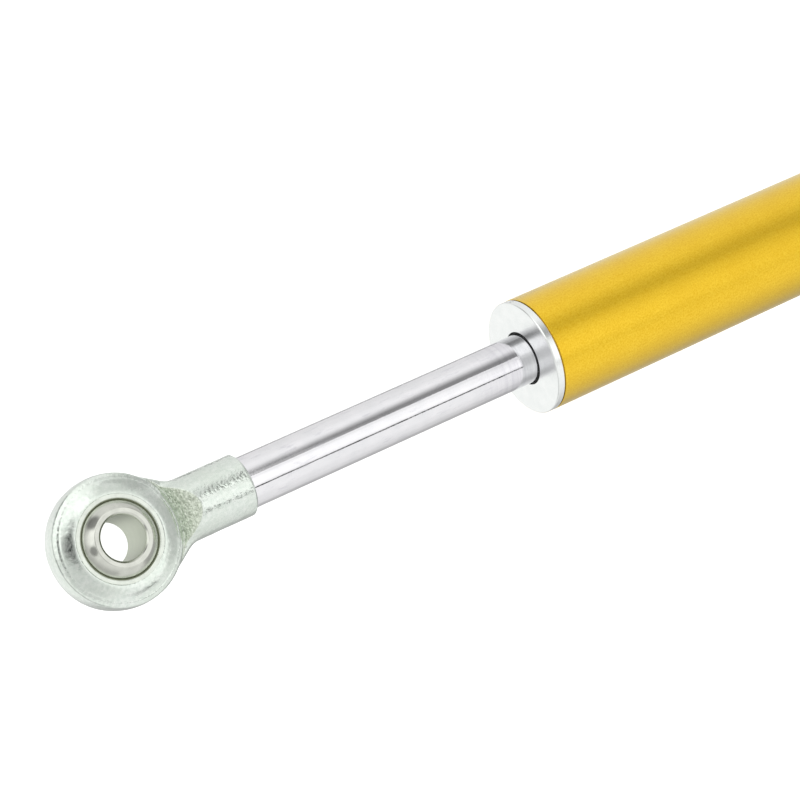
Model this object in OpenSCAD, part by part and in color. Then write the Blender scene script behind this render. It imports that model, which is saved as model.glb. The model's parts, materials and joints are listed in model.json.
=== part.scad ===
// Linear steering damper with a spherical rod end and a turning click adjuster.
// X runs along the damper from the eye to the adjuster, Z runs along the bore of the eye,
// and the origin is the centre of the ball. The rod is drawn fully extended at the eye.

/* [Damper] */
// Travel of the rod
stroke = 75; // [50:5:100]
// Diameter of the rod
rod_d = 12; // [11.5:0.1:12.5]
// Outside diameter of the tube
tube_d = 27.5; // [27.2:0.1:29]
// Bore of the tube
tube_bore = 24; // [23.8:0.1:24.2]
// Thickness of the end caps' flanges
flange_t = 2.1; // [1.6:0.1:3]
// Radial gap round the rod where it enters a cap
entry_gap = 0.5; // [0.4:0.05:0.7]

/* [Rod end] */
// Bore of the ball
eye_bore = 10; // [8:0.5:10]
// Diameter of the ball
ball_d = 19.05; // [18.8:0.05:19.2]
// Width of the ball across its flat faces
ball_w = 14; // [13:0.5:14]
// Diameter of the eye over its crowned rim
eye_d = 29.6; // [29.2:0.1:31]
// Half width of the eye at its face
face_z = 4.55; // [4.5:0.05:4.6]
// Half width of the eye at its rim
rim_z = 3; // [2.8:0.1:3.2]
// Diameter of the shank
shank_d = 14.5; // [14:0.1:15]
// Distance from the ball's centre to the end of the shank
shank_end = 32; // [31:0.5:36]
// Distance from the eye's axis to the foot of the hollow that parts the shank from the eye
hollow_r = 14.8; // [14.6:0.1:15]

/* [Adjuster] */
// Diameter of the knob
knob_d = 25; // [22:0.5:27]
// Length of the knob
knob_len = 12; // [11:0.5:14]
// Number of ridges round the knob
knob_ridges = 48; // [30:2:60]
// Depth of the ridges
ridge_depth = 0.45; // [0.3:0.05:0.7]
// Diameter of the collar
collar_d = 19; // [18.6:0.1:21]
// Number of click positions in one turn
clicks = 18; // [12:2:24]

/* [Hidden] */

gold = "#e3ae1c";
bare = "#d5d8d6";
chrome = "#c9cdd2";
zinc = "#ccd6cf";
steel = "#a9aaa8";
black = "#26282a";
bronze = "#9c7a4a";
brass = "#c8a24c";

$fn = 96;
run = 0.04;                          // radial clearance of a running fit
rr = rod_d / 2;
tr = tube_d / 2;
br = tube_bore / 2;
cap_r = tr - 0.03;
hole_r = rr + entry_gap;             // opening of a cap round the rod
screw_r = br + 0.5;                  // thread between cap and tube
screw_len = 12;
nose_len = 20;                       // depth of a cap inside the tube

x_cap = shank_end + stroke + 1.6;    // outer face of the front cap
x_t0 = x_cap + flange_t;             // front end of the tube
tube_len = stroke + 67;
x_t1 = x_t0 + tube_len;              // rear end of the tube
x_r = x_t1 + flange_t;               // outer face of the rear cap
x_p = x_t0 + 26.5;                   // front face of the piston
piston_len = 14;
x_col = x_r + 1.6;                   // front face of the collar
collar_len = 16;
x_colr = x_col + collar_len;
x_rod = x_col + 10;                  // rear end of the rod
x_knob = x_colr + 0.3;
x_knobr = x_knob + knob_len;
stem_r = 2.44;
stem_bore = 2.5;
detent_r = 7;                        // radius of the ring of click dimples
detent_ball_r = 1;

ball_r = ball_d / 2;
liner_in = ball_r + 0.035;
liner_out = ball_r + 0.405;
seat_r = liner_out + 0.04;
race_z = face_z + 0.05;
lip_r = 9.75;                        // where the eye closes over the bearing ring
race_r = 11.1;
lip_in = liner_out - 1.19;             // mouth of the bearing ring round the ball
dome_r = 11;                         // radius of the dome of the eye's face

// a solid turned about the X axis from [radius, x] points
module turned(p) rotate([0, 90, 0]) rotate_extrude() polygon(p);
// a cylinder along X
module rodx(r, x0, x1) translate([x0, 0, 0]) rotate([0, 90, 0]) cylinder(r = r, h = x1 - x0);
// an O-ring about the X axis
module oring(r, wire, x) translate([x, 0, 0]) rotate([0, 90, 0])
    rotate_extrude() translate([r, 0]) circle(r = wire, $fn = 32);
// the two ends of the tube, each with X pointing into the tube
module at_front() translate([x_t0, 0, 0]) children();
module at_rear() translate([x_t1, 0, 0]) mirror([1, 0, 0]) children();

// ---- tube and its ends

module tube() color(gold) turned([
    [screw_r + 0.05, x_t0], [tr - 0.08, x_t0], [tr, x_t0 + 0.08],
    [tr, x_t1 - 0.08], [tr - 0.08, x_t1], [screw_r + 0.05, x_t1],
    [screw_r + 0.05, x_t1 - screw_len], [br, x_t1 - screw_len - 0.6],
    [br, x_t0 + screw_len + 0.6], [screw_r + 0.05, x_t0 + screw_len]]);

module cap() turned([
    [hole_r, -flange_t + 0.15], [hole_r + 0.15, -flange_t], [cap_r - 0.35, -flange_t],
    [cap_r, -flange_t + 0.35], [cap_r, -0.2], [cap_r - 0.6, -0.2], [cap_r - 0.6, 0], [screw_r, 0],
    [screw_r, 11.2], [br - 0.05, 11.75], [br - 0.05, 13.9], [br - 1.2, 13.9],
    [br - 1.2, 15.8], [br - 0.05, 15.8], [br - 0.05, 19.7], [br - 0.35, nose_len],
    [br - 0.8, nose_len], [br - 0.8, 19], [rr + 1, 19], [rr + 1, 9.7], [rr + 0.4, 9.7],
    [rr + 0.4, 8.7], [rr + 3, 8.7], [rr + 3, 4.7], [rr + 0.4, 4.7], [rr + 0.4, 2.7],
    [rr + 2.6, 2.7], [rr + 2.6, -0.5], [hole_r, -0.5]]);
module front_cap() color(bare) at_front() cap();
module rear_cap() color(bare) at_rear() cap();

// scraper ring whose lip points outwards along the rod
module wiper() turned([
    [rr + 2.55, 2.6], [rr + 2.55, -0.4], [hole_r - 0.05, -0.4], [hole_r - 0.05, -1.3],
    [hole_r - 0.3, -1.55], [rr + run, -1.4], [rr + run, -0.95], [rr + 0.8, 1.5], [rr + 0.8, 2.6]]);
module front_wiper() color(black) at_front() wiper();
module rear_wiper() color(black) at_rear() wiper();

// lip seal, open towards the oil
module rod_seal() turned([
    [rr + 2.95, 4.8], [rr + 2.95, 8.3], [rr + 2.6, 8.6], [rr + 1.7, 6.6], [rr + 1.2, 6.6],
    [rr + 0.4, 8.6], [rr + run, 8.1], [rr + run, 7.6], [rr + 0.45, 6.5], [rr + 0.45, 4.8]]);
module front_rod_seal() color("#34506e") at_front() rod_seal();
module rear_rod_seal() color("#34506e") at_rear() rod_seal();

module bush() turned([
    [rr + run, 10.1], [rr + run + 0.3, 9.8], [rr + 1, 9.8], [rr + 1, 18.6],
    [rr + run + 0.3, 18.6], [rr + run, 18.3]]);
module front_bush() color(bronze) at_front() bush();
module rear_bush() color(bronze) at_rear() bush();

module front_cap_oring() color(black) at_front() oring(br - 0.62, 0.56, 14.85);
module rear_cap_oring() color(black) at_rear() oring(br - 0.62, 0.56, 14.85);

module bump_stop() turned([
    [rr + 1.3, 19], [br - 0.85, 19], [br - 0.85, 25.2], [br - 1.4, 26],
    [rr + 1.9, 26], [rr + 1.3, 25.2]]);
module front_bump_stop() color("#7a5c2a") at_front() bump_stop();
module rear_bump_stop() color("#7a5c2a") at_rear() bump_stop();

// ---- rod and piston

// cross drillings that let the oil pass the piston through the rod
module ports(x) for (a = [0, 90]) translate([x, 0, 0]) rotate([a, 0, 0])
    translate([0, 0, -rr - 1]) cylinder(r = 1, h = 2 * rr + 2);

module damper_rod() color(chrome) difference() {
    turned([
        [0, 18.7], [3.4, 18.7], [4, 19.3], [4, shank_end], [rr - 0.25, shank_end],
        [rr, shank_end + 0.25], [rr, x_p + 0.25], [rr - 0.6, x_p + 0.25],
        [rr - 0.6, x_p + 1.35], [rr, x_p + 1.35], [rr, x_p + 12.65],
        [rr - 0.6, x_p + 12.65], [rr - 0.6, x_p + 13.75], [rr, x_p + 13.75],
        [rr, x_col + 0.7], [rr - 0.3, x_col + 1], [5, x_col + 1], [5, x_rod - 0.6],
        [4.4, x_rod], [0, x_rod]]);
    rodx(2.5, x_p - 4.2, x_rod + 1);
    ports(x_p - 2.6);
    ports(x_p + 15.8);
}

module piston() color(bare) turned([
    [rr + 0.02, x_p + 1.4], [rr + 1.7, x_p + 1.4], [rr + 1.7, x_p], [br - 0.5, x_p],
    [br - 0.2, x_p + 0.3], [br - 0.2, x_p + 5], [br - 2.6, x_p + 5], [br - 2.6, x_p + 9],
    [br - 0.2, x_p + 9], [br - 0.2, x_p + 13.7], [br - 0.5, x_p + piston_len],
    [rr + 1.7, x_p + piston_len], [rr + 1.7, x_p + 12.6], [rr + 0.02, x_p + 12.6]]);

module circlip() difference() {
    rodx(rr + 1.5, 0, 1);
    rodx(rr - 0.55, -1, 2);
    translate([-1, -1.6, 2]) cube([3, 3.2, 8]);
}
module piston_circlips() color(steel) {
    translate([x_p + 0.3, 0, 0]) circlip();
    translate([x_p + 12.7, 0, 0]) circlip();
}

module piston_band() color("#5b4a3a") turned([
    [br - 1.4, x_p + 5.04], [br - 0.15, x_p + 5.04], [br - 0.05, x_p + 5.14],
    [br - 0.05, x_p + 8.86], [br - 0.15, x_p + 8.96], [br - 1.4, x_p + 8.96]]);
module band_energiser() color(black) oring(br - 2.02, 0.55, x_p + 7);

module needle_seat() color(brass) turned([
    [1, x_p + 5], [2.2, x_p + 4.8], [2.5, x_p + 5.1], [2.5, x_p + 7.8], [1.4, x_p + 7.8],
    [1, x_p + 7.4]]);

// ---- rod end

// outline of the eye's ring, [radius, z]
module eye_outline() intersection() {
    translate([eye_d / 2 - 5.94, rim_z - 9.41]) circle(r = dome_r, $fn = 128);
    translate([eye_d / 2 - 5.94, 9.41 - rim_z]) circle(r = dome_r, $fn = 128);
    translate([eye_d / 2 - 18.1, 0]) circle(r = 18.1, $fn = 256);
    translate([8, -face_z]) square([10, 2 * face_z]);
}

module rod_end_housing() color(zinc) difference() {
    union() {
        difference() {
            union() {
                rodx(shank_d / 2, 8, shank_end - 0.7);
                turned([[0, shank_end - 0.7], [shank_d / 2, shank_end - 0.7],
                    [shank_d / 2 - 0.7, shank_end], [0, shank_end]]);
                // web that runs from the sides of the ring into the shank
                translate([0, 0, 0.15 - rim_z]) linear_extrude(2 * rim_z - 0.3)
                    polygon([[8, 12.15], [9.6, 11.2], [15.7, 7.2], [18, 6.9], [18, -6.9],
                        [15.7, -7.2], [9.6, -11.2], [8, -12.15]]);
            }
            // the hollow runs round the eye's axis and climbs out of the shank
            for (s = [0, 1]) mirror([0, 0, s]) rotate_extrude() polygon([
                [0, rim_z - 0.25], [hollow_r - 0.05, rim_z - 0.25], [hollow_r + 1.5, rim_z + 2.1],
                [hollow_r + 4, rim_z + 4.27], [hollow_r + 4.8, rim_z + 5], [hollow_r + 4.8, 12], [0, 12]]);
        }
        rotate_extrude() eye_outline();
    }
    // seat of the bearing ring, closed over it at both faces
    rotate_extrude() polygon([
        [0, -8], [lip_r, -8], [lip_r, -face_z + 0.5], [race_r, -3.2], [race_r, 3.2],
        [lip_r, face_z - 0.5], [lip_r, 8], [0, 8]]);
    rodx(4.02, 18.4, shank_end + 1);
}

module race_insert() color(bare) rotate_extrude() difference() {
    polygon([[7, -race_z], [lip_r - 0.15, -race_z], [lip_r - 0.05, -race_z + 0.1],
        [lip_r - 0.05, -face_z + 0.5], [race_r - 0.02, -3.15], [race_r - 0.02, 3.15],
        [lip_r - 0.05, face_z - 0.5], [lip_r - 0.05, race_z - 0.1],
        [lip_r - 0.15, race_z], [7, race_z]]);
    intersection() {
        circle(r = seat_r, $fn = 128);
        translate([0, 0.25 - race_z]) square([12, 2 * race_z - 0.5]);
    }
    // mouth between the lips that keep the liner in
    polygon([[0, -race_z - 0.1], [lip_in + 0.3, -race_z - 0.1], [lip_in + 0.3, -race_z],
        [lip_in, 0.25 - race_z], [lip_in, race_z - 0.25], [lip_in + 0.3, race_z],
        [lip_in + 0.3, race_z + 0.1], [0, race_z + 0.1]]);
}

module race_liner() color("#3c3a34") rotate_extrude() difference() {
    intersection() {
        circle(r = liner_out, $fn = 128);
        translate([5, -4.3]) square([8, 8.6]);
    }
    circle(r = liner_in, $fn = 128);
}

module swivel_ball() color(steel) difference() {
    intersection() {
        sphere(r = ball_r, $fn = 128);
        translate([-12, -12, -ball_w / 2]) cube([24, 24, ball_w]);
    }
    rotate_extrude() polygon([
        [0, -ball_w / 2 - 1], [eye_bore / 2 + 1.5, -ball_w / 2 - 1],
        [eye_bore / 2, -ball_w / 2 + 0.5], [eye_bore / 2, ball_w / 2 - 0.5],
        [eye_bore / 2 + 1.5, ball_w / 2 + 1], [0, ball_w / 2 + 1]]);
}

// ---- adjuster

module adjuster_collar() color(bare) difference() {
    turned([
        [0, x_col], [collar_d / 2 - 0.8, x_col], [collar_d / 2, x_col + 0.8],
        [collar_d / 2, x_colr - 0.5], [collar_d / 2 - 0.5, x_colr], [0, x_colr]]);
    // opening for the rod, its thread, the stem's flange and the stem
    turned([
        [0, x_col - 1], [rr + 0.02, x_col - 1], [rr + 0.02, x_col + 1], [5, x_col + 1],
        [5, x_rod], [3.6, x_rod], [3.6, x_rod + 1.4], [stem_bore, x_rod + 1.4],
        [stem_bore, x_rod + 2.6], [3.5, x_rod + 2.6], [3.5, x_rod + 4.2],
        [stem_bore, x_rod + 4.2], [stem_bore, x_colr + 1], [0, x_colr + 1]]);
    // spanner flats
    for (s = [-1, 1]) translate([x_col - 1, s * (collar_d / 2 - 1) + (s < 0 ? -5 : 0), -12])
        cube([8, 5, 24]);
    // grub screw
    translate([x_col + 4, 0, 0]) cylinder(r = 2, h = 15);
    // pockets of the click springs
    for (s = [-1, 1]) translate([0, s * detent_r, 0]) rodx(detent_ball_r + 0.05, x_colr - 5.4, x_colr + 1);
    // index line
    translate([x_colr - 3.5, -0.25, collar_d / 2 - 0.3]) cube([5, 0.5, 2]);
}

module collar_grub_screw() color(steel) translate([x_col + 4, 0, 0]) difference() {
    union() {
        translate([0, 0, 5.7]) cylinder(r = 2, h = 3.2);
        translate([0, 0, 5.05]) cylinder(r1 = 1.35, r2 = 2, h = 0.65);
    }
    translate([0, 0, 7]) cylinder(d = 2 / cos(30), h = 5, $fn = 6);
}

module stem_seal() color(black) oring(3.01, 0.47, x_rod + 3.4);

// one helical spring along X, drawn as a swept round wire
module coil(r, wire, turns, len) {
    n = turns * 14;
    m = 8;
    pts = [for (i = [0:n]) let (a = i * 360 * turns / n, x = wire + (len - 2 * wire) * i / n)
        for (j = [0:m - 1]) let (b = j * 360 / m, q = r + wire * cos(b))
            [x + wire * sin(b), q * cos(a), q * sin(a)]];
    faces = concat(
        [[for (j = [0:m - 1]) j]],
        [for (i = [0:n - 1]) for (j = [0:m - 1]) let (k = (j + 1) % m)
            each [[i * m + j, (i + 1) * m + j, (i + 1) * m + k], [i * m + j, (i + 1) * m + k, i * m + k]]],
        [[for (j = [m - 1:-1:0]) n * m + j]]);
    polyhedron(points = pts, faces = faces, convexity = 8);
}
module detent_springs() color(steel) for (s = [-1, 1])
    translate([x_colr - 5.3, s * detent_r, 0]) coil(0.72, 0.14, 5, 3.5);

module detent_balls() color(steel) for (s = [-1, 1])
    translate([x_knob - 0.02 - detent_ball_r, s * detent_r, 0]) sphere(r = detent_ball_r, $fn = 48);

// the flat on the stem's end, a little smaller than the one in the knob
module flatted(r, flat, x0, x1) intersection() {
    rodx(r, x0, x1);
    translate([x0 - 1, -5, -5]) cube([x1 - x0 + 2, 10, 5 + flat]);
}

module adjuster_knob() color(gold) difference() {
    union() {
        intersection() {
            turned([
                [0, x_knob + 2], [knob_d / 2 - ridge_depth, x_knob + 2],
                [knob_d / 2 + 0.1, x_knob + 2.1 + ridge_depth],
                [knob_d / 2 + 0.1, x_knobr - 1.8 - ridge_depth],
                [knob_d / 2 - ridge_depth, x_knobr - 1.7], [0, x_knobr - 1.7]]);
            translate([x_knob, 0, 0]) rotate([0, 90, 0]) linear_extrude(knob_len) polygon(
                [for (i = [0:knob_ridges - 1], s = [[0.3, 0], [0.7, 0], [1, ridge_depth]])
                    let (a = (i + s[0]) * 360 / knob_ridges, q = knob_d / 2 - s[1])
                        [q * cos(a), q * sin(a)]]);
        }
        turned([
            [0, x_knob], [knob_d / 2 - 1.9, x_knob], [knob_d / 2 - 1.1, x_knob + 0.8],
            [knob_d / 2 - 1.1, x_knobr - 0.9], [knob_d / 2 - 2, x_knobr], [0, x_knobr]]);
    }
    flatted(stem_r + 0.02, 1.82, x_knob - 1, x_knobr - 4.2);
    rodx(1.6, x_knob, x_knobr + 1);
    rodx(3, x_knobr - 3.2, x_knobr + 1);
    // dish in the rear face
    turned([[3.5, x_knobr + 0.1], [4, x_knobr - 0.8], [7.2, x_knobr - 0.8], [7.7, x_knobr + 0.1]]);
    // click dimples and the scale marks on the rear face
    for (i = [0:clicks - 1]) rotate([i * 360 / clicks, 0, 0]) {
        translate([x_knob - 0.7, detent_r, 0]) sphere(r = detent_ball_r + 0.1, $fn = 48);
        translate([x_knobr - 0.3, 8.5, -0.2]) cube([1, i == 0 ? 2.5 : 1.3, 0.4]);
    }
}

module knob_screw() color(steel) difference() {
    union() {
        rodx(1.5, x_knobr - 10, x_knobr - 3.1);
        turned([[0, x_knobr - 3.2], [2.75, x_knobr - 3.2], [2.75, x_knobr - 0.5],
            [2.45, x_knobr - 0.2], [0, x_knobr - 0.2]]);
    }
    translate([x_knobr - 2, 0, 0]) rotate([0, 90, 0]) cylinder(d = 2.5 / cos(30), h = 5, $fn = 6);
}

module adjuster_stem() color(steel) difference() {
    union() {
        rodx(1.24, x_p + 20.8, x_p + 27);
        rodx(1.7, x_p + 26.6, x_rod + 0.3);
        rodx(3.2, x_rod + 0.2, x_rod + 1.2);
        rodx(stem_r, x_rod + 1, x_knob + 0.3);
        flatted(stem_r, 1.8, x_knob + 0.2, x_knobr - 4.4);
    }
    rodx(1.5, x_knobr - 10.6, x_knobr);
}

module metering_needle() color(brass) difference() {
    turned([
        [0, x_p + 6.7], [1.25, x_p + 9.8], [1.25, x_p + 17], [2.45, x_p + 18],
        [2.45, x_p + 25.6], [2.15, x_p + 25.9], [0, x_p + 25.9]]);
    rodx(1.3, x_p + 20.3, x_p + 27);
}

tube();
front_cap();
rear_cap();
front_wiper();
rear_wiper();
front_rod_seal();
rear_rod_seal();
front_bush();
rear_bush();
front_cap_oring();
rear_cap_oring();
front_bump_stop();
rear_bump_stop();
piston_band();
damper_rod();
piston();
piston_circlips();
band_energiser();
needle_seat();
rod_end_housing();
race_insert();
race_liner();
swivel_ball();
adjuster_collar();
collar_grub_screw();
stem_seal();
detent_springs();
detent_balls();
adjuster_knob();
knob_screw();
adjuster_stem();
metering_needle();
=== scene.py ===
import json
import math

import bpy
import numpy as np
from mathutils import Matrix, Vector

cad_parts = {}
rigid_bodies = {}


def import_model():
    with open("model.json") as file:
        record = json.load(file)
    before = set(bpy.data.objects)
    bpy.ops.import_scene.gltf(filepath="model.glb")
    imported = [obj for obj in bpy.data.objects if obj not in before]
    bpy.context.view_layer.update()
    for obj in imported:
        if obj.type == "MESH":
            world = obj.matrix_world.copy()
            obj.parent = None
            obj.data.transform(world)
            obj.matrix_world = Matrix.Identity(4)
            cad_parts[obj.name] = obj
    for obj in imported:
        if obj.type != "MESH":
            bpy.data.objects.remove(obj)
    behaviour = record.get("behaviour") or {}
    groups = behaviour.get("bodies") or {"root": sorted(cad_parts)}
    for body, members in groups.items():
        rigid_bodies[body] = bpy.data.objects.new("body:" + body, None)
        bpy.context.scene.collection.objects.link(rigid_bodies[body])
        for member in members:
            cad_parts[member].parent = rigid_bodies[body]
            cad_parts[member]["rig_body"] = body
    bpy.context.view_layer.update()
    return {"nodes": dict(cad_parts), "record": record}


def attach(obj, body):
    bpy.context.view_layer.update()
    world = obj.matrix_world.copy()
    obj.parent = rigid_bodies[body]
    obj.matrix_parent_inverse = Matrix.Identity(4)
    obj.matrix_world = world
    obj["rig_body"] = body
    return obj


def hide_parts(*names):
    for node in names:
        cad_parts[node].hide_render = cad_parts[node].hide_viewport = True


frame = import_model()

MM = 0.001
nodes = frame["nodes"]

# dimensions that part.scad works out, in millimetres
X_SHANK = 32.0
X_CAP = 108.6
X_T0 = 110.7
X_T1 = 252.7
X_R = 254.8
X_P = 137.2
X_COL = 256.4
X_COLR = 272.4
X_ROD = 266.4
X_KNOB = 272.7
X_KNOBR = 284.7
TUBE_R = 13.75
ROD_R = 6.0


# ---------------------------------------------------------------- meshes

def mesh_object(name, verts, faces, sharp=38):
    """An object from vertices in millimetres, smooth apart from edges sharper than sharp degrees."""
    me = bpy.data.meshes.new(name)
    me.from_pydata((np.asarray(verts, float) * MM).tolist(), [], [list(map(int, f)) for f in faces])
    me.validate()
    me.update()
    me.shade_smooth()
    me.set_sharp_from_angle(angle=math.radians(sharp))
    ob = bpy.data.objects.new(name, me)
    bpy.context.scene.collection.objects.link(ob)
    return ob


def fillet(points, steps=6, closed=True):
    """Rounds the corners of an outline. A point is (a, b) or (a, b, radius)."""
    out = []
    n = len(points)
    for i, p in enumerate(points):
        r = p[2] if len(p) > 2 else 0.0
        here = np.array(p[:2], float)
        if r <= 0 or (not closed and i in (0, n - 1)):
            out.append(here)
            continue
        before = np.array(points[i - 1][:2], float)
        after = np.array(points[(i + 1) % n][:2], float)
        u, v = before - here, after - here
        lu, lv = np.linalg.norm(u), np.linalg.norm(v)
        u, v = u / lu, v / lv
        half = math.acos(np.clip(u @ v, -1, 1)) / 2
        cut = min(r / math.tan(half), 0.49 * lu, 0.49 * lv)
        r = cut * math.tan(half)
        centre = here + (u + v) / np.linalg.norm(u + v) * r / math.sin(half)
        a, b = here + u * cut - centre, here + v * cut - centre
        t0, t1 = math.atan2(a[1], a[0]), math.atan2(b[1], b[0])
        dt = (t1 - t0 + math.pi) % (2 * math.pi) - math.pi
        for k in range(steps + 1):
            t = t0 + dt * k / steps
            out.append(centre + r * np.array([math.cos(t), math.sin(t)]))
    return np.array(out)


def supported(outline, near=0.04, closed=True):
    """Adds points close to both ends of each long stretch, so that smooth shading stays true on it."""
    out = []
    n = len(outline)
    for i in range(n):
        p = outline[i]
        out.append(p)
        if i == n - 1 and not closed:
            break
        q = outline[(i + 1) % n]
        d = np.linalg.norm(q - p)
        if d > 6 * near:
            out.append(p + (q - p) * near / d)
            out.append(q - (q - p) * near / d)
    return np.array(out)


def lathe_grid(outline, seg, axis, closed=True, radius=None):
    """Vertices and faces of an outline of (along, radius) turned about an axis. radius(along, r, angles) may vary it."""
    ang = np.arange(seg) * 2 * np.pi / seg
    verts, index = [], []
    for a, r in outline:
        if r < 1e-6:
            index.append([len(verts)])
            verts.append((a, 0, 0))
            continue
        rs = np.full(seg, r) if radius is None else radius(a, r, ang)
        index.append(list(range(len(verts), len(verts) + seg)))
        verts += [(a, q * math.cos(t), q * math.sin(t)) for q, t in zip(rs, ang)]
    faces = []
    m = len(index)
    for i in range(m if closed else m - 1):
        A, B = index[i], index[(i + 1) % m]
        if len(A) == 1 and len(B) == 1:
            continue
        for k in range(seg):
            k2 = (k + 1) % seg
            if len(A) == 1:
                faces.append((A[0], B[k], B[k2]))
            elif len(B) == 1:
                faces.append((A[k], B[0], A[k2]))
            else:
                faces.append((A[k], B[k], B[k2], A[k2]))
    v = np.array(verts)
    if axis == "Z":
        v = v[:, [1, 2, 0]]
    return v, faces


def lathe(name, outline, seg=192, axis="X", closed=True, radius=None, sharp=38):
    v, f = lathe_grid(outline, seg, axis, closed, radius)
    ob = mesh_object(name, v, f, sharp)
    fix_normals(ob)
    return ob


def fix_normals(ob):
    import bmesh
    bm = bmesh.new()
    bm.from_mesh(ob.data)
    bmesh.ops.recalc_face_normals(bm, faces=bm.faces)
    bm.to_mesh(ob.data)
    bm.free()
    ob.data.update()


def replace(ob, node, material):
    ob.data.materials.clear()
    ob.data.materials.append(material)
    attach(ob, nodes[node]["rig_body"])
    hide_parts(node)
    return ob


slot_of = {s["node"]: s["material_slot"] for s in frame["record"]["subparts"]}


# ---------------------------------------------------------------- node trees

class Tree:
    """Short ways to build a material's nodes."""

    def __init__(self, name):
        self.m = bpy.data.materials.new(name)
        self.m.use_nodes = True
        self.t = self.m.node_tree
        self.n = self.t.nodes
        self.n.clear()
        self.out = self.n.new("ShaderNodeOutputMaterial")
        self.b = self.n.new("ShaderNodeBsdfPrincipled")
        self.t.links.new(self.b.outputs[0], self.out.inputs[0])
        self.co = self.n.new("ShaderNodeTexCoord").outputs["Object"]

    def link(self, a, b):
        self.t.links.new(a, b)

    def put(self, node_socket, value):
        if hasattr(value, "is_output") or isinstance(value, bpy.types.NodeSocket):
            self.link(value, node_socket)
        else:
            node_socket.default_value = value

    def set(self, **values):
        names = {"color": "Base Color", "metallic": "Metallic", "rough": "Roughness", "ior": "IOR",
                 "spec": "Specular IOR Level", "aniso": "Anisotropic", "rot": "Anisotropic Rotation",
                 "coat": "Coat Weight", "coat_rough": "Coat Roughness", "normal": "Normal",
                 "tangent": "Tangent", "sheen": "Sheen Weight", "tint": "Specular Tint"}
        for k, v in values.items():
            self.put(self.b.inputs[names[k]], v)

    def noise(self, size, detail=2.0, rough=0.5, co=None, kind="FBM", out="Fac"):
        """Noise whose lumps are about size millimetres across."""
        n = self.n.new("ShaderNodeTexNoise")
        n.inputs["Scale"].default_value = 1000.0 / size
        n.inputs["Detail"].default_value = detail
        n.inputs["Roughness"].default_value = rough
        self.link(co or self.co, n.inputs["Vector"])
        return n.outputs[out]

    def cells(self, size, feature="F1", co=None):
        n = self.n.new("ShaderNodeTexVoronoi")
        n.feature = feature
        n.inputs["Scale"].default_value = 1000.0 / size
        self.link(co or self.co, n.inputs["Vector"])
        return n.outputs["Distance"]

    def stretch(self, sx, sy, sz, co=None):
        m = self.n.new("ShaderNodeMapping")
        m.inputs["Scale"].default_value = (sx, sy, sz)
        self.link(co or self.co, m.inputs["Vector"])
        return m.outputs[0]

    def ramp(self, fac, stops, interp="LINEAR"):
        r = self.n.new("ShaderNodeValToRGB")
        r.color_ramp.interpolation = interp
        e = r.color_ramp.elements
        while len(e) < len(stops):
            e.new(0.5)
        for el, (p, c) in zip(e, stops):
            el.position = p
            el.color = (c, c, c, 1) if isinstance(c, (int, float)) else (*c, 1)
        self.link(fac, r.inputs[0])
        return r.outputs[0]

    def math(self, op, a, b=0.5, c=0.5):
        m = self.n.new("ShaderNodeMath")
        m.operation = op
        self.put(m.inputs[0], a)
        self.put(m.inputs[1], b)
        if op in ("MULTIPLY_ADD", "SMOOTH_MIN", "SMOOTH_MAX", "WRAP", "COMPARE"):
            self.put(m.inputs[2], c)
        return m.outputs[0]

    def mapr(self, v, a, b, c, d):
        m = self.n.new("ShaderNodeMapRange")
        for s, x in zip((1, 2, 3, 4), (a, b, c, d)):
            m.inputs[s].default_value = x
        self.link(v, m.inputs[0])
        return m.outputs[0]

    def mix(self, fac, a, b, mode="MIX"):
        m = self.n.new("ShaderNodeMix")
        m.data_type = "RGBA"
        m.blend_type = mode
        self.put(m.inputs[0], fac)
        for s, x in ((m.inputs[6], a), (m.inputs[7], b)):
            self.put(s, (*x, 1) if isinstance(x, tuple) and len(x) == 3 else x)
        return m.outputs[2]

    def bump(self, height, depth, normal=None, strength=1.0):
        """Bump whose height of 1 is depth millimetres."""
        b = self.n.new("ShaderNodeBump")
        b.inputs["Strength"].default_value = strength
        b.inputs["Distance"].default_value = depth * MM
        self.link(height, b.inputs["Height"])
        if normal is not None:
            self.link(normal, b.inputs["Normal"])
        return b.outputs[0]

    def split(self, co=None):
        s = self.n.new("ShaderNodeSeparateXYZ")
        self.link(co or self.co, s.inputs[0])
        return s.outputs

    def radius(self, axis="X"):
        """Distance from the X or Z axis, in millimetres."""
        x, y, z = self.split()
        a, b = (y, z) if axis == "X" else (x, y)
        s = self.math("ADD", self.math("MULTIPLY", a, a), self.math("MULTIPLY", b, b))
        return self.math("MULTIPLY", self.math("SQRT", s), 1000.0)

    def tangent(self, axis="X"):
        t = self.n.new("ShaderNodeTangent")
        t.direction_type = "RADIAL"
        t.axis = axis
        return t.outputs[0]


def lin(r, g, b):
    """Linear colour from 0..255 display values."""
    f = lambda c: c / 12.92 if c <= 0.04045 else ((c + 0.055) / 1.055) ** 2.4
    return tuple(f(v / 255) for v in (r, g, b))


def gold():
    t = Tree("gold_anodised")
    grain = t.noise(0.36, 2, 0.6)
    blotch = t.noise(9, 2, 0.5)
    base = t.mix(t.mapr(grain, 0.3, 0.7, 0.0, 1.0), lin(235, 187, 16), lin(255, 216, 58))
    base = t.mix(t.mapr(blotch, 0.3, 0.7, 0.0, 0.22), base, lin(230, 181, 20))
    rough = t.mapr(t.noise(0.22, 2, 0.5), 0.3, 0.7, 0.29, 0.37)
    drawn = t.noise(0.16, 2, 0.6, co=t.stretch(0.05, 1, 1))
    n = t.bump(grain, 0.013)
    n = t.bump(drawn, 0.0006, n)
    t.set(color=base, metallic=1.0, rough=rough, normal=n, coat=0.9, coat_rough=0.25, tint=(0.93, 1.0, 0.90, 1.0))
    t.b.inputs["Coat IOR"].default_value = 1.3
    return t.m


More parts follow.
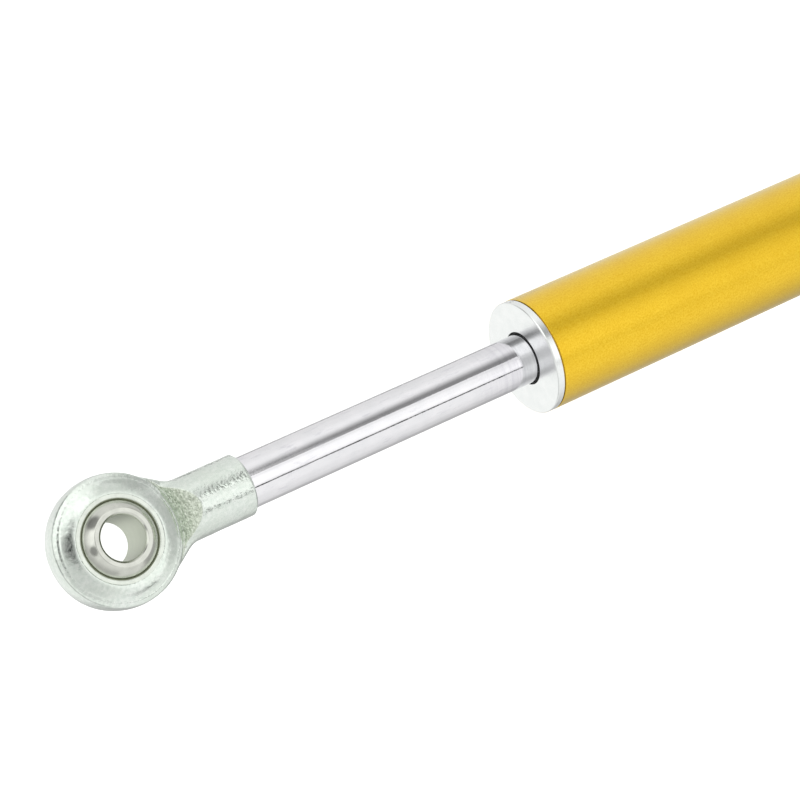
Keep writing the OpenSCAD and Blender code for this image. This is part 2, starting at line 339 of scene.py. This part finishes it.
def machined(axis="X", name="machined_aluminium", down=0):
    t = Tree(name)
    r = t.radius(axis)
    wob = t.noise(3.0, 2, 0.5)
    rings = t.n.new("ShaderNodeTexNoise")
    rings.noise_dimensions = "1D"
    rings.inputs["Scale"].default_value = 9.0
    rings.inputs["Detail"].default_value = 3.0
    t.link(r, rings.inputs["W"])
    fine = t.n.new("ShaderNodeTexNoise")
    fine.noise_dimensions = "1D"
    fine.inputs["Scale"].default_value = 34.0
    fine.inputs["Detail"].default_value = 2.0
    t.link(r, fine.inputs["W"])
    base = t.mix(t.mapr(wob, 0.3, 0.7, 0.0, 1.0), lin(238 - down, 241 - down, 239 - down), lin(245 - down, 247 - down, 245 - down))
    base = t.mix(t.mapr(rings.outputs["Fac"], 0.35, 0.65, 0.0, 0.25), base, lin(226 - down, 230 - down, 228 - down))
    n = t.bump(rings.outputs["Fac"], 0.0012)
    n = t.bump(fine.outputs["Fac"], 0.0006, n)
    t.set(color=base, metallic=1.0, rough=t.mapr(rings.outputs["Fac"], 0.3, 0.7, 0.17, 0.24), aniso=0.55,
          tangent=t.tangent(axis), normal=n)
    return t.m


def chrome():
    t = Tree("hard_chrome")
    speck = t.noise(0.42, 3, 0.65)
    wide = t.noise(4.0, 2, 0.5)
    base = t.mix(t.mapr(wide, 0.3, 0.7, 0.0, 1.0), lin(231, 231, 233), lin(238, 237, 239))
    n = t.bump(speck, 0.0040)
    grind = t.noise(0.12, 2, 0.5, co=t.stretch(1.0, 0.08, 0.08))
    n = t.bump(grind, 0.0003, n)
    drag = t.noise(0.5, 3, 0.6, co=t.stretch(0.06, 1.0, 1.0))
    n = t.bump(drag, 0.0045, n)
    worn = t.noise(1.3, 4, 0.65, co=t.stretch(0.25, 1.0, 1.0))
    base = t.mix(t.mapr(worn, 0.56, 0.72, 0.0, 0.5), base, lin(206, 205, 212))
    # rubbed rings where the rod runs through the wiper
    x, y, z = t.split()
    rings = t.n.new("ShaderNodeTexNoise")
    rings.noise_dimensions = "1D"
    rings.inputs["Scale"].default_value = 900.0
    rings.inputs["Detail"].default_value = 3.0
    t.link(x, rings.inputs["W"])
    near = t.math("MULTIPLY", t.mapr(x, 0.090, 0.104, 0.0, 1.0), t.mapr(x, 0.118, 0.125, 1.0, 0.0))
    rubbed = t.math("MULTIPLY", near, t.mapr(rings.outputs["Fac"], 0.35, 0.65, 0.35, 1.0))
    base = t.mix(t.math("MULTIPLY", rubbed, 0.55), base, lin(204, 202, 210))
    n = t.bump(t.math("MULTIPLY", rings.outputs["Fac"], near), 0.004, n)
    t.set(color=base, metallic=1.0, rough=t.math("ADD", t.mapr(speck, 0.3, 0.7, 0.055, 0.09), t.mapr(worn, 0.5, 0.75, 0.0, 0.07)), normal=n)
    return t.m


def zinc(name="zinc_plate"):
    t = Tree(name)
    fine = t.noise(0.34, 3, 0.6)
    mid = t.noise(1.1, 3, 0.55)
    wide = t.noise(7.0, 2, 0.5)
    base = t.mix(t.mapr(mid, 0.3, 0.7, 0.0, 1.0), lin(218, 228, 220), lin(232, 238, 232))
    base = t.mix(t.mapr(wide, 0.35, 0.65, 0.0, 0.35), base, lin(214, 226, 212))
    n = t.bump(mid, 0.011)
    n = t.bump(fine, 0.0055, n)
    t.set(color=base, metallic=1.0, rough=t.mapr(fine, 0.3, 0.7, 0.22, 0.33), normal=n)
    return t.m


def turned_steel(name, tone, rough=0.14, axis="Z", aniso=0.3, bore=0.0):
    t = Tree(name)
    r = t.radius(axis)
    x, y, z = t.split()
    along = z if axis == "Z" else x
    w = t.math("ADD", r, t.math("MULTIPLY", along, 1000.0))
    rings = t.n.new("ShaderNodeTexNoise")
    rings.noise_dimensions = "1D"
    rings.inputs["Scale"].default_value = 12.0
    rings.inputs["Detail"].default_value = 3.0
    t.link(w, rings.inputs["W"])
    cloud = t.noise(2.2, 3, 0.5)
    dark = tuple(c * 0.86 for c in lin(*tone))
    base = t.mix(t.mapr(cloud, 0.3, 0.7, 0.0, 1.0), dark, lin(*tone))
    n = t.bump(rings.outputs["Fac"], 0.0008)
    n = t.bump(t.noise(0.3, 2, 0.5), 0.0008, n)
    shine = t.mapr(rings.outputs["Fac"], 0.3, 0.7, rough, rough * 1.5)
    if bore:
        # the bore is only drilled and reamed, so it is rougher; inside it the colour is also darkened and greened as
        # painted shade
        inside = t.mapr(r, bore, bore + 0.2, 0.30, 0.0)
        shine = t.math("ADD", shine, inside)
        # painted shade: a darker, greener colour inside the bore
        base = t.mix(t.math("MULTIPLY", inside, 2.4), base, lin(188, 196, 176))
    t.set(color=base, metallic=1.0, rough=shine, aniso=aniso, tangent=t.tangent(axis), normal=n)
    return t.m


def rubber(name, tone, rough=0.55):
    t = Tree(name)
    g = t.noise(0.25, 3, 0.6)
    base = t.mix(t.mapr(g, 0.3, 0.7, 0.0, 1.0), tuple(c * 0.7 for c in lin(*tone)), lin(*tone))
    t.set(color=base, metallic=0.0, rough=t.mapr(g, 0.3, 0.7, rough - 0.08, rough + 0.1), normal=t.bump(g, 0.006))
    return t.m


def yellow_metal(name, tone, rough=0.22):
    t = Tree(name)
    g = t.noise(0.5, 3, 0.6)
    base = t.mix(t.mapr(g, 0.3, 0.7, 0.0, 1.0), tuple(c * 0.82 for c in lin(*tone)), lin(*tone))
    t.set(color=base, metallic=1.0, rough=t.mapr(g, 0.3, 0.7, rough, rough + 0.12), normal=t.bump(g, 0.002))
    return t.m


M = {
    "gold_anodised": gold(),
    "machined_aluminium": machined(),
    "hard_chrome": chrome(),
    "zinc_plate": zinc(),
    "race_steel": turned_steel("race_steel", (230, 236, 226), 0.2, aniso=0.3),
    "ball_steel": turned_steel("ball_steel", (215, 217, 208), 0.10, aniso=0.2, bore=5.1),
    "plain_steel": turned_steel("plain_steel", (186, 187, 188), 0.2, axis="X"),
    "black_rubber": rubber("black_rubber", (86, 88, 86)),
    "seal_rubber": rubber("seal_rubber", (58, 82, 120)),
    "stop_rubber": rubber("stop_rubber", (150, 112, 48)),
    "bush_bronze": yellow_metal("bush_bronze", (176, 140, 98), 0.35),
    "band_plastic": rubber("band_plastic", (120, 98, 78), 0.4),
    "liner_plastic": rubber("liner_plastic", (126, 134, 106), 0.6),
    "brass": yellow_metal("brass", (214, 184, 116)),
}

for name, ob in nodes.items():
    ob.data.materials.clear()
    ob.data.materials.append(M[slot_of[name]])


# ---------------------------------------------------------------- the forged rod end

def smin(a, b, k):
    h = np.clip(0.5 + 0.5 * (b - a) / k, 0, 1)
    return b * (1 - h) + a * h - k * h * (1 - h)


def smax(a, b, k):
    return -smin(-a, -b, k)


def lattice(p, size, seed):
    """Smooth value noise of -1 to 1 whose lumps are size millimetres across."""
    q = p / size
    i = np.floor(q).astype(np.int64)
    f = q - i
    f = f * f * (3 - 2 * f)
    total = np.zeros(len(p))
    for dx in (0, 1):
        for dy in (0, 1):
            for dz in (0, 1):
                h = (i[:, 0] + dx) * 374761393 + (i[:, 1] + dy) * 668265263 + (i[:, 2] + dz) * 2147483647 + seed * 144665
                h = (h ^ (h >> 13)) * 1274126177
                h = (h ^ (h >> 16)) & 0xFFFF
                w = (f[:, 0] if dx else 1 - f[:, 0]) * (f[:, 1] if dy else 1 - f[:, 1]) * (f[:, 2] if dz else 1 - f[:, 2])
                total += w * (h / 32767.5 - 1)
    return total


def eye_distance(p):
    """Signed distance, about, from the forged eye and shank, in millimetres."""
    x, y, z = p[:, 0], p[:, 1], p[:, 2]
    rho = np.hypot(x, y)
    az = np.abs(z)
    dome = np.hypot(rho - 8.86, az + 6.41) - 11.0
    # crease where the turned face meets the forged rim
    dome = dome + 0.03 * np.exp(-((rho - 13.3) / 0.18) ** 2) - 0.05 * np.clip((rho - 13.3) / 0.4, 0, 1)
    crown = np.hypot(rho + 3.3, z) - 18.1
    ring = smax(smax(dome, crown, 0.35), az - 4.55, 0.12)
    shank = smax(np.hypot(y, z) - 7.25, np.abs(x - 20) - 12, 0.7)
    shank = np.maximum(shank, (np.hypot(y, z) - 7.25 + x - 32) * 0.7071 + 0.35)
    # web between the sides of the ring and the shank
    ay = np.abs(y)
    ux, uy = 15.7 - 9.6, 7.2 - 11.2
    ln = math.hypot(ux, uy)
    side = ((x - 9.6) * -uy + (ay - 11.2) * ux) / ln
    web = smax(smax(side, az - 2.95, 1.6), np.maximum(x - 17.0, 8.2 - x), 0.5)
    body = smin(shank, web, 1.1)
    # hollow, turned about the eye's axis: two cones that climb out of the shank
    low = ((az - 2.75) * 1.55 - (rho - 14.75) * 2.35) / 2.8152
    high = ((az - 5.10) * 2.50 - (rho - 16.30) * 2.17) / 3.3104
    scoop = -np.minimum(smax(low, high, 0.5), az - 2.75)
    body = smax(body, -scoop, 0.30)
    d = smin(ring, body, 0.22)
    return d, scoop, ring


def eye_surface(p):
    d, scoop, ring = eye_distance(p)
    rho = np.hypot(p[:, 0], p[:, 1])
    az = np.abs(p[:, 2])
    # seat of the bearing and the threaded hole
    seat = np.where(az > 4.05, rho - 9.75, np.where(az < 3.2, rho - 11.1, rho - 11.1 + (az - 3.2) * 1.35 / 0.85))
    hole = np.maximum(np.hypot(p[:, 1], p[:, 2]) - 4.02, 18.4 - p[:, 0])
    return np.maximum(np.maximum(d, -seat), -hole)


def grid_surface(distance, lo, hi, h):
    """The zero surface of a distance function as vertices and quads, one vertex to each cell that it crosses."""
    lo, hi = np.array(lo, float), np.array(hi, float)
    n = np.ceil((hi - lo) / h).astype(int) + 1
    axes = [lo[k] + h * np.arange(n[k]) for k in range(3)]
    d = np.empty(n, np.float32)
    Y, Z = np.meshgrid(axes[1], axes[2], indexing="ij")
    for i, x in enumerate(axes[0]):
        p = np.stack([np.full(Y.size, x), Y.ravel(), Z.ravel()], 1)
        d[i] = distance(p).reshape(Y.shape)
    inside = d < 0
    cell = np.zeros(n - 1, np.uint8)
    for a in (0, 1):
        for b in (0, 1):
            for c in (0, 1):
                cell += inside[a:n[0] - 1 + a, b:n[1] - 1 + b, c:n[2] - 1 + c]
    live = (cell > 0) & (cell < 8)
    ids = -np.ones(live.shape, np.int64)
    ids[live] = np.arange(live.sum())
    where = np.argwhere(live)
    total, count = np.zeros((len(where), 3)), np.zeros(len(where))
    corner = [(a, b, c) for a in (0, 1) for b in (0, 1) for c in (0, 1)]
    for i, a in enumerate(corner):
        for b in corner[i + 1:]:
            if sum(abs(p - q) for p, q in zip(a, b)) != 1:
                continue
            da = d[where[:, 0] + a[0], where[:, 1] + a[1], where[:, 2] + a[2]].astype(float)
            db = d[where[:, 0] + b[0], where[:, 1] + b[1], where[:, 2] + b[2]].astype(float)
            cut = (da < 0) != (db < 0)
            t = np.where(cut, da / np.where(cut, da - db, 1), 0)
            total += cut[:, None] * (np.array(a) + t[:, None] * (np.array(b) - np.array(a)))
            count += cut
    verts = lo + h * (where + total / count[:, None])
    quads = []
    for k in range(3):
        sl0 = [slice(1, n[j] - 1) for j in range(3)]
        sl0[k] = slice(0, n[k] - 1)
        sl1 = list(sl0)
        sl1[k] = slice(1, n[k])
        cross = inside[tuple(sl0)] != inside[tuple(sl1)]
        at = np.argwhere(cross)
        flip = inside[tuple(sl0)][cross]
        base = at.copy()
        for j in range(3):
            if j != k:
                base[:, j] += 1
        u, v = [j for j in range(3) if j != k]
        q = []
        for du, dv in ((0, 0), (1, 0), (1, 1), (0, 1)):
            c = base.copy()
            c[:, u] -= 1 - du
            c[:, v] -= 1 - dv
            q.append(ids[c[:, 0], c[:, 1], c[:, 2]])
        q = np.stack(q, 1)
        if k == 1:
            flip = ~flip
        q[~flip] = q[~flip][:, ::-1]
        quads.append(q)
    return verts, np.concatenate(quads)


def settle(verts, distance, rounds=4, e=0.01):
    """Moves vertices onto the zero surface."""
    for _ in range(rounds):
        d = distance(verts)
        g = np.stack([(distance(verts + np.eye(3)[k] * e) - distance(verts - np.eye(3)[k] * e)) / (2 * e) for k in range(3)], 1)
        verts = verts - np.clip(d, -0.2, 0.2)[:, None] * g / np.maximum((g * g).sum(1), 0.25)[:, None]
    return verts, g


def forged_eye():
    h = 0.15
    v, q = grid_surface(eye_surface, (-15.4, -15.4, -7.9), (32.6, 15.4, 7.9), h)
    v, g = settle(v, eye_surface, 3)
    d, scoop, ring = eye_distance(v)
    az = np.abs(v[:, 2])
    # coarse grain of the forged hollow, and a slight unevenness over the rest
    hollow = np.clip(1.3 - np.abs(scoop) / 0.14, 0, 1) * np.clip((ring - 0.02) / 0.14, 0, 1) * (v[:, 0] > 8) * (az > 2.4)
    shift = 0.070 * lattice(v, 0.34, 1) + 0.040 * lattice(v, 0.21, 2)
    skin = 0.020 * lattice(v, 2.6, 3) + 0.010 * lattice(v, 0.9, 4)
    outer = np.clip((-np.abs(eye_surface(v) - d) + 0.02) / 0.02, 0, 1)
    calm = np.clip((np.hypot(v[:, 0], v[:, 1]) - 10.0) / 1.0, 0, 1)
    n = g / np.linalg.norm(g, axis=1)[:, None]
    v = v + n * ((hollow * (shift - 0.07) + (1 - hollow) * calm * (skin - 0.03)) * outer)[:, None]
    ob = mesh_object("forged_eye", v, q, 50)
    fix_normals(ob)
    me = ob.data
    a = me.attributes.new("hollow", "FLOAT", "POINT")
    a.data.foreach_set("value", hollow.astype(np.float32))
    return ob


def eye_material():
    t = Tree("zinc_forged")
    at = t.n.new("ShaderNodeAttribute")
    at.attribute_name = "hollow"
    hollow = at.outputs["Fac"]
    # the faces of the ring are turned inside the crease, the rest is as forged
    x, y, z = t.split()
    high = t.math("MULTIPLY", t.math("ABSOLUTE", z), 1000.0)
    face = t.math("MULTIPLY", t.mapr(t.radius("Z"), 13.2, 13.4, 1.0, 0.0), t.mapr(high, 3.2, 3.5, 0.0, 1.0))
    rough_skin = t.math("SUBTRACT", 1.0, t.math("MULTIPLY", face, 0.8))
    fine = t.noise(0.62, 1, 0.5)
    mid = t.noise(0.9, 3, 0.55)
    wide = t.noise(7.0, 2, 0.5)
    rings = t.n.new("ShaderNodeTexNoise")
    rings.noise_dimensions = "1D"
    rings.inputs["Scale"].default_value = 7.0
    rings.inputs["Detail"].default_value = 3.0
    t.link(t.radius("Z"), rings.inputs["W"])
    base = t.mix(t.mapr(mid, 0.3, 0.7, 0.0, 1.0), lin(216, 225, 217), lin(234, 239, 233))
    base = t.mix(t.mapr(wide, 0.35, 0.65, 0.0, 0.35), base, lin(212, 222, 209))
    pitted = t.mix(t.mapr(fine, 0.35, 0.65, 0.0, 1.0), lin(184, 192, 176), lin(226, 234, 218))
    base = t.mix(t.math("MULTIPLY", hollow, 0.95), base, pitted)
    n = t.bump(t.math("MULTIPLY", mid, rough_skin), 0.022)
    n = t.bump(t.math("MULTIPLY", fine, rough_skin), 0.060, n)
    n = t.bump(t.math("MULTIPLY", rings.outputs["Fac"], face), 0.004, n)
    coarse = t.math("MULTIPLY", t.noise(0.42, 2, 0.6), hollow)
    n = t.bump(coarse, 0.13, n)
    rough = t.math("ADD", t.mapr(fine, 0.3, 0.7, 0.12, 0.21), t.math("MULTIPLY", hollow, 0.18))
    t.set(color=base, metallic=1.0, rough=rough, normal=n, aniso=0.25, tangent=t.tangent("Z"))
    return t.m


replace(forged_eye(), "rod_end_housing", eye_material())

# ---------------------------------------------------------------- turned pieces

tube = lathe("tube_body", supported(fillet([
    (X_T0, 12.55), (X_T0, TUBE_R, 0.08), (X_T1, TUBE_R, 0.08), (X_T1, 12.55), (X_T1 - 12, 12.55),
    (X_T1 - 12.6, 12.0), (X_T0 + 12.6, 12.0), (X_T0 + 12, 12.55)])), 256)
replace(tube, "tube", M["gold_anodised"])


def cap_outline(end, way):
    pts = [(-2.1, 6.5, 0.1), (-2.1, 13.72, 0.34), (-0.34, 13.72, 0.05), (-0.34, 12.85), (0.0, 12.85), (0.0, 12.5), (11.2, 12.5), (11.75, 11.95),
           (13.9, 11.95), (13.9, 10.8), (15.8, 10.8), (15.8, 11.95), (19.7, 11.95), (20, 11.65), (20, 11.2),
           (19, 11.2), (19, 7.0), (9.7, 7.0), (9.7, 6.4), (8.7, 6.4), (8.7, 9.0), (4.7, 9.0), (4.7, 6.4),
           (2.7, 6.4), (2.7, 8.6), (-0.5, 8.6), (-0.5, 6.5)]
    return supported(fillet([(end + way * p[0], *p[1:]) for p in pts]))


for cap_name, node_name, end, way in (("cap_front", "front_cap", X_T0, 1), ("cap_rear", "rear_cap", X_T1, -1)):
    replace(lathe(cap_name, cap_outline(end, way), 256), node_name, M["machined_aluminium"])

rod = lathe("rod_bar", supported(fillet([
    (18.7, 0), (18.7, 3.4), (19.3, 4.0), (32.0, 4.0), (32.0, ROD_R, 0.2), (X_P + 0.25, ROD_R), (X_P + 0.25, 5.4),
    (X_P + 1.35, 5.4), (X_P + 1.35, ROD_R), (X_P + 12.65, ROD_R), (X_P + 12.65, 5.4), (X_P + 13.75, 5.4),
    (X_P + 13.75, ROD_R), (X_COL + 0.7, ROD_R, 0.2), (X_COL + 1.0, 5.6), (X_COL + 1.0, 5.0), (X_ROD - 0.6, 5.0),
    (X_ROD, 4.4), (X_ROD, 2.5), (X_P - 4.2, 2.5), (X_P - 4.2, 0)], closed=False), closed=False), 256, closed=False)
replace(rod, "damper_rod", M["hard_chrome"])


def arc(r, a0, a1, n):
    """Points (z, radius) on a circle round the origin, by latitude in degrees."""
    return [(r * math.sin(math.radians(a)), r * math.cos(math.radians(a))) for a in np.linspace(a0, a1, n)]


lat = math.degrees(math.asin(7.0 / 9.525))
ball_outline = [(-6.48, 5.0), (-6.53, 5.02), (-6.96, 5.45), (-7.0, 5.52)] + \
    [(-7.0, 6.36), (-6.985, 6.43)] + arc(9.525, -lat + 0.5, lat - 0.5, 64) + [(6.985, 6.43), (7.0, 6.36)] + \
    [(7.0, 5.52), (6.96, 5.45), (6.53, 5.02), (6.48, 5.0)]
replace(lathe("ball_swivel", supported(np.array(ball_outline), 0.03), 256, axis="Z"), "swivel_ball", M["ball_steel"])

seat = 9.97
seat_lat = math.degrees(math.asin(4.6 / seat))
race_outline = [(float(a), float(b)) for a, b in fillet([
    (-4.58, 9.3), (-4.58, 9.755), (-4.05, 9.735), (-3.15, 11.08), (3.15, 11.08), (4.05, 9.735), (4.58, 9.755), (4.58, 9.3)],
    closed=False)] + [(4.58, 9.02), (4.565, 8.92), (4.52, 8.84), (4.42, 8.76), (4.36, 8.74), (4.34, 8.76), (4.34, 8.95)] + arc(seat, seat_lat - 2.2, -seat_lat + 2.2, 32) + [(-4.34, 8.95), (-4.34, 8.76), (-4.36, 8.74), (-4.42, 8.76), (-4.52, 8.84), (-4.565, 8.92), (-4.58, 9.02)]
replace(lathe("race_ring", supported(np.array(race_outline), 0.03), 256, axis="Z"), "race_insert", M["race_steel"])


# ---------------------------------------------------------------- adjuster

nodes["adjuster_collar"].data.materials.clear()
nodes["adjuster_collar"].data.materials.append(machined(name="machined_collar", down=28))

# ---------------------------------------------------------------- floor, light and camera

floor_z = -TUBE_R * MM
bpy.ops.mesh.primitive_plane_add(size=6.0, location=(0.1, 0, floor_z))
floor = bpy.context.object
floor.name = "floor"
ft = Tree("floor_white")
pale = ft.mix(ft.mapr(ft.noise(60, 2, 0.5), 0.3, 0.7, 0.0, 1.0), (0.80, 0.80, 0.80), (0.83, 0.83, 0.83))
ft.set(color=pale, rough=0.9, spec=0.1)
ft.put(ft.b.inputs["Emission Color"], (1, 1, 1, 1))
ft.b.inputs["Emission Strength"].default_value = 0.72
floor.data.materials.append(ft.m)
floor.visible_glossy = False

# a small soft card over the eye, which keeps the opening of the tent out of the ring's top
card_at = Vector((0.0365, 0.0465, 0.0755))
card_way = Vector((0.44, 0.42, 0.79)).normalized()
bpy.ops.mesh.primitive_plane_add(size=0.064, location=card_at)
card = bpy.context.object
card.name = "soft_card"
card.rotation_mode = "QUATERNION"
card.rotation_quaternion = card_way.to_track_quat("Z", "Y")
ct = Tree("card_glow")
cx, cy, cz = ct.split()
across = ct.math("MULTIPLY", ct.math("SQRT", ct.math("ADD", ct.math("MULTIPLY", cx, cx), ct.math("MULTIPLY", cy, cy))), 1000.0)
glow = ct.n.new("ShaderNodeEmission")
ct.link(ct.mapr(ct.noise(20, 2, 0.5), 0.3, 0.7, 0.80, 0.86), glow.inputs["Strength"])
clear = ct.n.new("ShaderNodeBsdfTransparent")
blend = ct.n.new("ShaderNodeMixShader")
ct.link(ct.mapr(across, 13.0, 24.0, 1.0, 0.0), blend.inputs[0])
ct.link(clear.outputs[0], blend.inputs[1])
ct.link(glow.outputs[0], blend.inputs[2])
ct.link(blend.outputs[0], ct.out.inputs[0])
card.data.materials.append(ct.m)
card.visible_camera = False
card.visible_diffuse = False
card.visible_shadow = False

world = bpy.data.worlds.new("studio")
bpy.context.scene.world = world
world.use_nodes = True
wt = world.node_tree
wn = wt.nodes
wn.clear()


def wmath(op, a, b=0.0, c=0.0):
    m = wn.new("ShaderNodeMath")
    m.operation = op
    for s, v in zip(m.inputs, (a, b, c)):
        if isinstance(v, bpy.types.NodeSocket):
            wt.links.new(v, s)
        else:
            s.default_value = v
    return m.outputs[0]


coord = wn.new("ShaderNodeTexCoord").outputs["Generated"]
sep = wn.new("ShaderNodeSeparateXYZ")
wt.links.new(coord, sep.inputs[0])
dx, dy, dz = sep.outputs


def facing(x, y, z):
    """Cosine of the angle between the direction of the light and a given direction."""
    n = wn.new("ShaderNodeVectorMath")
    n.operation = "DOT_PRODUCT"
    n.inputs[1].default_value = Vector((x, y, z)).normalized()
    wt.links.new(coord, n.inputs[0])
    return n.outputs["Value"]


def step(v, a, b, to0=0.0, to1=1.0, smooth=True):
    """Goes from to0 at a to to1 at b."""
    n = wn.new("ShaderNodeMapRange")
    n.interpolation_type = "SMOOTHSTEP" if smooth else "LINEAR"
    for s_, x in zip((1, 2, 3, 4), (a, b, to0, to1)):
        if isinstance(x, bpy.types.NodeSocket):
            wt.links.new(x, n.inputs[s_])
        else:
            n.inputs[s_].default_value = x
    wt.links.new(v, n.inputs[0])
    return n.outputs[0]


def panel(azimuth, polar, inner, outer):
    """1 within inner degrees of a direction, 0 beyond outer degrees."""
    a_, p_ = math.radians(azimuth), math.radians(polar)
    d_ = facing(math.sin(p_) * math.cos(a_), math.sin(p_) * math.sin(a_), math.cos(p_))
    return step(d_, math.cos(math.radians(outer)), math.cos(math.radians(inner)))


# tent: even, a little darker towards the floor
level = wmath("ADD", step(dz, -0.6, 0.0, 0.86, 0.93), step(dz, 0.0, 0.4, 0.0, 0.09))
for strength, az_, po_, inner, outer in ((0.30, 118, 38, 16, 40), (0.36, 150, 82, 10, 24), (-0.36, -2, 50, 10, 28),
                                         (-0.28, 215, 22, 8, 34), (-0.60, 118, 7, 4, 12), (-0.60, 145, 19, 5, 14), (-0.40, 94, 14, 2, 9),
                                         (-0.34, -60, 150, 8, 32), (0.19, 180, 151, 16, 44),
                                         (-0.35, -32, 108, 10, 36)):
    level = wmath("MULTIPLY_ADD", panel(az_, po_, inner, outer), strength, level)
softbox = wmath("MULTIPLY", panel(-21, 28, 7, 20), wmath("MULTIPLY", step(dx, 0.66, 0.57), step(dx, 0.476, 0.492, 0.47, 1.0)))
level = wmath("MULTIPLY_ADD", softbox, 0.43, level)

# the opening between the panels: a crisp edge on one side, a slow fade on the other
edge = facing(0.30, -0.95, 0.08)
depth = wmath("DIVIDE", edge, -0.60)
dark = wmath("MULTIPLY", step(depth, 0.33, 1.0, 1.0, 0.0), step(edge, -0.035, -0.062))
dark = wmath("MULTIPLY", dark, wmath("MULTIPLY", step(dx, 0.345, 0.371), step(dz, -0.45, 0.1)))
dark = wmath("MULTIPLY", dark, step(dx, 0.46, 0.60, 0.73, 0.40))
level = wmath("MULTIPLY", level, wmath("SUBTRACT", 1.0, dark))
level = wmath("MULTIPLY_ADD", panel(56, 24, 4, 13), 0.38, level)

# a corner of the tent, and the thin seam between two panels
level = wmath("MULTIPLY", level, wmath("MULTIPLY_ADD", panel(116, 87, 9, 20), -0.62, 1.0))
level = wmath("MULTIPLY", level, wmath("MULTIPLY_ADD", panel(181, 78, 8, 14), -0.60, 1.0))
seam = wmath("ABSOLUTE", facing(0, 0.819, 0.574))
seam = wmath("MULTIPLY", step(seam, 0.050, 0.021), wmath("MULTIPLY", step(dx, 0.1, 0.3), step(dx, 0.494, 0.482)))
level = wmath("MULTIPLY", level, wmath("MULTIPLY_ADD", seam, -0.97, 1.0))
# the tent grows a little darker away from the eye
level = wmath("MULTIPLY", level, wmath("MULTIPLY", step(dx, 0.476, 0.494, 1.0, 1.07), step(dx, 0.505, 0.60, 1.0, 0.87)))

# the foot of the tent behind the eye is in shade
shade = wmath("MULTIPLY", step(dx, -0.15, -0.38), wmath("MULTIPLY", step(dz, 0.22, -0.15), step(dz, -0.54, -0.38)))
level = wmath("MULTIPLY", level, wmath("MULTIPLY_ADD", shade, -0.32, 1.0))
both = wn.new("ShaderNodeBackground")
both.inputs[0].default_value = (1, 1, 1, 1)
wt.links.new(level, both.inputs[1])

# the camera sees a plain white backdrop
plain = wn.new("ShaderNodeBackground")
plain.inputs[0].default_value = (1, 1, 1, 1)
plain.inputs[1].default_value = 1.05
path = wn.new("ShaderNodeLightPath")
last = wn.new("ShaderNodeMixShader")
wt.links.new(path.outputs["Is Camera Ray"], last.inputs[0])
wt.links.new(both.outputs[0], last.inputs[1])
wt.links.new(plain.outputs[0], last.inputs[2])
out = wn.new("ShaderNodeOutputWorld")
wt.links.new(last.outputs[0], out.inputs[0])

cam_data = bpy.data.cameras.new("camera")
cam = bpy.data.objects.new("camera", cam_data)
bpy.context.scene.collection.objects.link(cam)
cam_data.sensor_fit = "HORIZONTAL"
cam_data.sensor_width = 36.0
cam_data.lens = 114.46
cam_data.clip_start = 0.01
cam_data.clip_end = 50.0
right = Vector((0.82357, -0.40881, 0.39320)).normalized()
back = Vector((-0.43225, -0.00347, 0.90175))
back = (back - right * back.dot(right)).normalized()
up = back.cross(right)
turn = Matrix((right, up, back)).transposed()
cam.matrix_world = Matrix.Translation(Vector((-0.17329, 0.00080, 0.51882))) @ turn.to_4x4()
bpy.context.scene.camera = cam

bpy.context.scene.view_settings.view_transform = "Standard"
bpy.context.scene.view_settings.look = "None"
bpy.context.scene.view_settings.exposure = 0.0
bpy.context.scene.view_settings.gamma = 1.0
